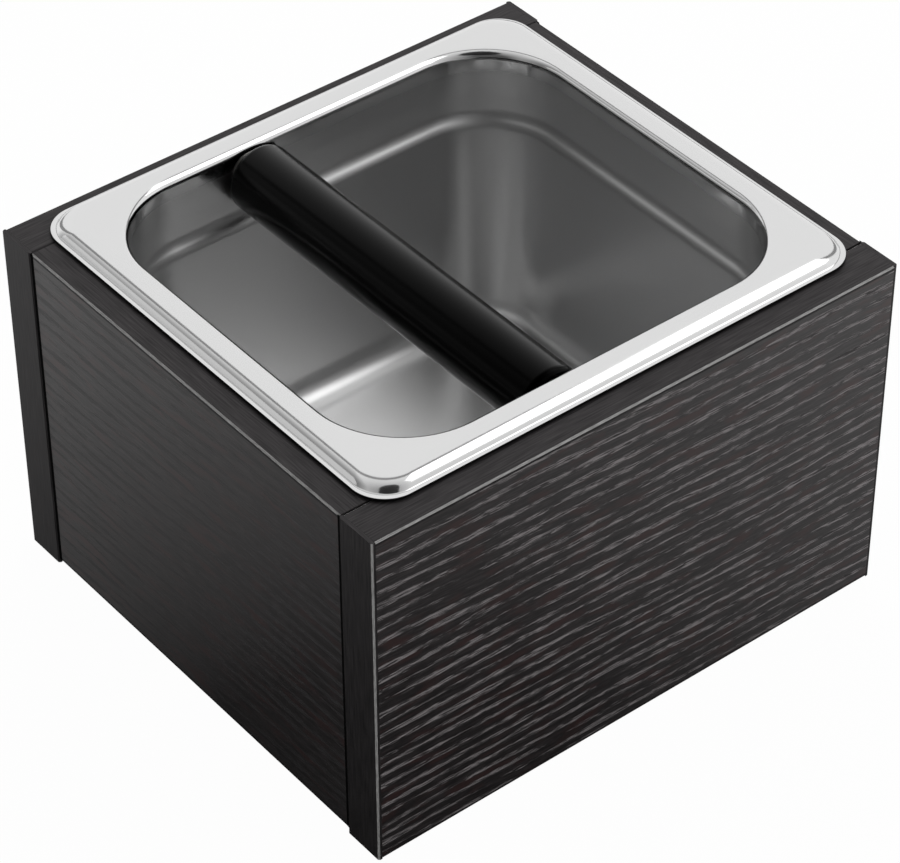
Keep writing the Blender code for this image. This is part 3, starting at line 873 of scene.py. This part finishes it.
# %% Stainless steel
POLISH_LOW, POLISH_FULL = 8 * MM, 4.2 * MM  # below the rim's top
SATIN, POLISHED, BRUSHED_MORE = 0.27, 0.09, 0.13  # roughness, and what the flat top adds to it
FLAT_LOW, FLAT_FULL = 0.5 * MM, 0.1 * MM  # where the flat top begins, below its own height
COARSE_MORE, COARSE_EDGE, COARSE_FULL = 0.1, 9 * MM, 5 * MM  # the same at the shoulder
CLOUD_MORE = 0.05
steel, tree, shader = new_material("drawn_stainless_steel", {"Metallic": 1.0})
place = add(tree, "ShaderNodeTexCoord").outputs["Object"]
height = add(tree, "ShaderNodeSeparateXYZ", {0: place}).outputs["Z"]
rim_z = rim_high.z
polish = add(
    tree,
    "ShaderNodeMapRange",
    {"Value": height, "From Min": rim_z - POLISH_LOW, "From Max": rim_z - POLISH_FULL},
    interpolation_type="SMOOTHSTEP",
).outputs[0]
colour = add(
    tree, "ShaderNodeMix", {0: polish, 6: linear("#cdcdcd"), 7: linear("#dcdcdc")}, data_type="RGBA"
).outputs[2]
tree.links.new(colour, shader.inputs["Base Color"])
rough = add(
    tree, "ShaderNodeMapRange", {"Value": polish, "To Min": SATIN, "To Max": POLISHED}
).outputs[0]
brushed = add(
    tree,
    "ShaderNodeMapRange",
    {
        "Value": height,
        "From Min": rim_z - FLAT_LOW,
        "From Max": rim_z - FLAT_FULL,
        "To Max": BRUSHED_MORE,
    },
).outputs[0]
rough = add(tree, "ShaderNodeMath", {0: rough, 1: brushed}, operation="ADD").outputs[0]

# Drawing stretches the sheet most at the shoulder, so its skin is coarser there.
shoulder = seat + ends[6][1]
off = add(tree, "ShaderNodeMath", {0: height, 1: shoulder}, operation="SUBTRACT").outputs[0]
off = add(tree, "ShaderNodeMath", {0: off}, operation="ABSOLUTE").outputs[0]
coarse = add(
    tree,
    "ShaderNodeMapRange",
    {"Value": off, "From Min": COARSE_EDGE, "From Max": COARSE_FULL, "To Max": COARSE_MORE},
).outputs[0]
rough = add(tree, "ShaderNodeMath", {0: rough, 1: coarse}, operation="ADD").outputs[0]
clouds = add(
    tree, "ShaderNodeTexNoise", {"Vector": place, "Scale": 90.0, "Detail": 3.0}
).outputs[0]
rough = add(
    tree, "ShaderNodeMath", {0: clouds, 1: CLOUD_MORE, 2: rough}, operation="MULTIPLY_ADD"
).outputs[0]
tree.links.new(rough, shader.inputs["Roughness"])
grit = add(
    tree, "ShaderNodeTexNoise", {"Vector": place, "Scale": 1 / (0.5 * MM), "Detail": 2.0}
).outputs[0]
bump = add(tree, "ShaderNodeBump", {"Height": grit, "Strength": 0.12, "Distance": 0.02 * MM})
tree.links.new(bump.outputs[0], shader.inputs["Normal"])
# The lip's cut edge is painted shadow: dark grey for the contact line under the lip.
lip_edge_painted_shadow, _, _ = new_material(
    "sheared_steel_edge", {"Metallic": 1.0, "Base Color": linear("#2c2c2c"), "Roughness": 0.5}
)
pan.data.materials[0] = steel
pan.data.materials[1] = lip_edge_painted_shadow
print("faces of the lip's cut edge:", sum(face.material_index for face in pan.data.polygons))
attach(pan, "pan")
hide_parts("steel_pan")

# %% [markdown]
# Round pieces are turned, as on a lathe: an outline of radii and distances goes round a line.
# The knock bar's black rubber tube comes first. Its ends are rounded, and it fills the room
# that the solid model gives it. New rubber of this kind is smooth and nearly black. A dark
# specular tint takes the gloss away where the tube is seen straight on and keeps it at flat
# angles, so only its sides shine.


# %% Turned pieces
def turned_piece(name, outline, start, way, sides, in_place_of, material):
    """Turns (radius, distance) points about the line from start along way."""
    start, way = Vector(start), Vector(way)
    across = way.orthogonal().normalized()
    beside = way.cross(across)
    bm = bmesh.new()
    columns = []
    for i in range(sides):
        angle = math.tau * i / sides
        spoke = across * math.cos(angle) + beside * math.sin(angle)
        column = [start + way * reach + spoke * radius for radius, reach in outline]
        columns.append([bm.verts.new(point) for point in column])
    # An outline that starts on the line is open there. One with a hole closes on itself.
    last = len(outline) if outline[0][0] else len(outline) - 1
    for left, right in zip(columns, columns[1:] + columns[:1]):
        for i in range(last):
            j = (i + 1) % len(outline)
            bm.faces.new((left[i], left[j], right[j], right[i]))
    bmesh.ops.remove_doubles(bm, verts=bm.verts, dist=0.001 * MM)
    bmesh.ops.recalc_face_normals(bm, faces=bm.faces)
    mesh = bpy.data.meshes.new(name)
    bm.to_mesh(mesh)
    bm.free()
    mesh.materials.append(material)
    mesh.shade_smooth()
    mesh.set_sharp_from_angle(angle=math.radians(40))
    piece = bpy.data.objects.new(name, mesh)
    bpy.context.scene.collection.objects.link(piece)
    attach(piece, "case" if "foot" in name else "pan")
    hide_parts(in_place_of)
    return piece


# %% Rubber tube
BORE, TUBE_WALL, END_BEND = 8.3 * MM, 2.7 * MM, 2.0 * MM
rubber, tree, shader = new_material(
    "black_rubber_tube", {"Base Color": linear("#010101"), "Specular Tint": linear("#0a0a0a")}
)
place = add(tree, "ShaderNodeTexCoord").outputs["Object"]
smear = add(
    tree, "ShaderNodeTexNoise", {"Vector": place, "Scale": 60.0, "Detail": 3.0}
).outputs[0]
dull = add(
    tree, "ShaderNodeMapRange", {"Value": smear, "To Min": 0.16, "To Max": 0.26}
).outputs[0]
tree.links.new(dull, shader.inputs["Roughness"])
tube_length = bar_high.y - bar_low.y
tube_end, ends = draw_section((BORE, 0.0), [(TUBE_WALL - END_BEND, 0), (END_BEND, 90)])
far_end = [(radius, tube_length - reach) for radius, reach in reversed(tube_end)]
start = (bar_axis.x, bar_low.y, bar_axis.z)
turned_piece(
    "rubber_tube", tube_end + far_end, start, Y, 96, "knock_bar_sleeve", rubber
)
print("rubber tube:", round(tube_length / MM, 1), "mm long")

# %% [markdown]
# The screws and washers at the ends of the bar show only when the pan is lifted out. They are
# plain stainless steel: a round head with a hexagonal socket on a flat washer. The faint rings
# that turning leaves on them are a wave about their own line.


# %% Turned stainless steel
RING_STEP = 0.4 * MM  # real rings are finer, but they would be lost at this size


def turned_steel(name, colour, roughness, middle):
    """Bright steel with turning rings about a line along Y through its middle."""
    material, tree, shader = new_material(name, {"Metallic": 1.0, "Base Color": linear(colour)})
    place = add(tree, "ShaderNodeTexCoord").outputs["Object"]
    spoke = add(
        tree, "ShaderNodeVectorMath", {0: place, 1: middle}, operation="SUBTRACT"
    ).outputs[0]
    spoke = add(
        tree, "ShaderNodeVectorMath", {0: spoke, 1: (1, 0, 1)}, operation="MULTIPLY"
    ).outputs[0]
    radius = add(tree, "ShaderNodeVectorMath", {0: spoke}, operation="LENGTH").outputs["Value"]
    turn = add(
        tree, "ShaderNodeMath", {0: radius, 1: math.tau / RING_STEP}, operation="MULTIPLY"
    ).outputs[0]
    rings = add(tree, "ShaderNodeMath", {0: turn}, operation="SINE").outputs[0]
    smear = add(
        tree, "ShaderNodeTexNoise", {"Vector": place, "Scale": 400.0, "Detail": 3.0}
    ).outputs[0]
    dull = add(
        tree,
        "ShaderNodeMapRange",
        {"Value": smear, "To Min": roughness - 0.08, "To Max": roughness + 0.12},
    ).outputs[0]
    tree.links.new(dull, shader.inputs["Roughness"])
    bump = add(tree, "ShaderNodeBump", {"Height": rings, "Strength": 0.2, "Distance": 0.01 * MM})
    tree.links.new(bump.outputs[0], shader.inputs["Normal"])
    return material


fastener_steel = turned_steel("stainless_fastener_steel", "#bcbab6", 0.28, tuple(bar_axis))
rod_steel = turned_steel("turned_rod_steel", "#b0aeaa", 0.35, tuple(bar_axis))
nodes["knock_bar_rod"].data.materials[0] = rod_steel
print("turned steels:", fastener_steel.name, rod_steel.name)

# %% Bar screws and washers
HEAD, BRIM, SHANK, SHANK_LENGTH = 4.75 * MM, 0.6 * MM, 2.5 * MM, 12.0 * MM
SOCKET, SOCKET_DEPTH = 1.732 * MM, 1.6 * MM  # to the hexagon's corners, 3 mm across its flats
WASHER_HOLE, WASHER_EDGE = 2.65 * MM, 0.15 * MM
CROWN_STEPS = 8
for side, end in ((-1, "front"), (1, "rear")):
    low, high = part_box(f"{end}_bar_screw")
    top = high.y - low.y - SHANK_LENGTH
    rise = top - BRIM
    dome = (HEAD * HEAD + rise * rise) / (2 * rise)
    reach = math.asin(HEAD / dome)
    outline = [(0.0, -SHANK_LENGTH), (SHANK, -SHANK_LENGTH), (SHANK, 0.0), (HEAD, 0.0)]
    for i in range(CROWN_STEPS, 0, -1):
        angle = reach * i / CROWN_STEPS
        outline.append((dome * math.sin(angle), top - dome + dome * math.cos(angle)))
    outline.append((0.0, top))
    start = (bar_axis.x, (high.y if side > 0 else low.y) - side * top, bar_axis.z)
    screw = turned_piece(
        f"{end}_round_screw",
        outline,
        start,
        Y * side,
        64,
        f"{end}_bar_screw",
        fastener_steel,
    )
    tip = Vector(start) + Y * side * top
    cut_away(screw, cylinder_along_y(f"{end}_socket_cutter", SOCKET, tip, 2 * SOCKET_DEPTH, 6))

    low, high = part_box(f"{end}_bar_washer")
    thick, rim = high.y - low.y, (high.x - low.x) / 2
    outline = [
        (WASHER_HOLE, 0.0),
        (rim - WASHER_EDGE, 0.0),
        (rim, WASHER_EDGE),
        (rim, thick - WASHER_EDGE),
        (rim - WASHER_EDGE, thick),
        (WASHER_HOLE, thick),
    ]
    start = (bar_axis.x, low.y, bar_axis.z)
    turned_piece(
        f"{end}_round_washer",
        outline,
        start,
        Y,
        64,
        f"{end}_bar_washer",
        fastener_steel,
    )
    print(end, "screw head:", round(top / MM, 2), "mm high")

# %% [markdown]
# The four feet are moulded grey rubber, matt and slightly grainy. The dowels inside the
# corners are beech, with fine short streaks along their length.

# %% Feet
FOOT_EDGE = 0.3 * MM
foot_rubber, tree, shader = new_material(
    "moulded_grey_rubber", {"Base Color": linear("#2e2e2f"), "Specular IOR Level": 0.3}
)
place = add(tree, "ShaderNodeTexCoord").outputs["Object"]
grain = add(
    tree, "ShaderNodeTexNoise", {"Vector": place, "Scale": 1 / (0.4 * MM), "Detail": 2.0}
).outputs[0]
dull = add(
    tree, "ShaderNodeMapRange", {"Value": grain, "To Min": 0.65, "To Max": 0.9}
).outputs[0]
tree.links.new(dull, shader.inputs["Roughness"])
bump = add(tree, "ShaderNodeBump", {"Height": grain, "Strength": 0.4, "Distance": 0.05 * MM})
tree.links.new(bump.outputs[0], shader.inputs["Normal"])
for corner in ("front_left", "front_right", "back_left", "back_right"):
    low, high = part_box(f"{corner}_foot")
    radius, height = (high.x - low.x) / 2, high.z - low.z
    outline = [
        (0.0, 0.0),
        (radius - FOOT_EDGE, 0.0),
        (radius, FOOT_EDGE),
        (radius, height - FOOT_EDGE),
        (radius - FOOT_EDGE, height),
        (0.0, height),
    ]
    start = ((low.x + high.x) / 2, (low.y + high.y) / 2, low.z)
    turned_piece(
        f"{corner}_round_foot",
        outline,
        start,
        Z,
        64,
        f"{corner}_foot",
        foot_rubber,
    )
print("the feet are", round(height / MM, 2), "mm high and", round(2 * radius / MM, 2), "mm wide")

# %% Dowels
beech, tree, shader = new_material("turned_beech", {"Roughness": 0.55, "Specular IOR Level": 0.3})
place = add(tree, "ShaderNodeTexCoord").outputs["Object"]
axes = add(tree, "ShaderNodeSeparateXYZ", {0: place}).outputs
place = add(
    tree, "ShaderNodeCombineXYZ", {"X": axes["Y"], "Y": axes["X"], "Z": axes["Z"]}
).outputs[0]
flecks = grain_noise(tree, place, 3.0 * MM, 0.4 * MM, 2.0)
colour = add(
    tree, "ShaderNodeMix", {0: flecks, 6: linear("#d9b184"), 7: linear("#a9784c")}, data_type="RGBA"
).outputs[2]
tree.links.new(colour, shader.inputs["Base Color"])
dowels = [node for name, node in nodes.items() if name.endswith("dowel")]
for dowel in dowels:
    dowel.data.materials[0] = beech
print("beech dowels:", len(dowels))

# %% The sizes of the solid model and of the scene
sizes = {"cad": solid_box, "visual": [list(corner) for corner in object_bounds()]}
for name, corners in sizes.items():
    print(name, [round(value / MM, 2) for corner in corners for value in corner])
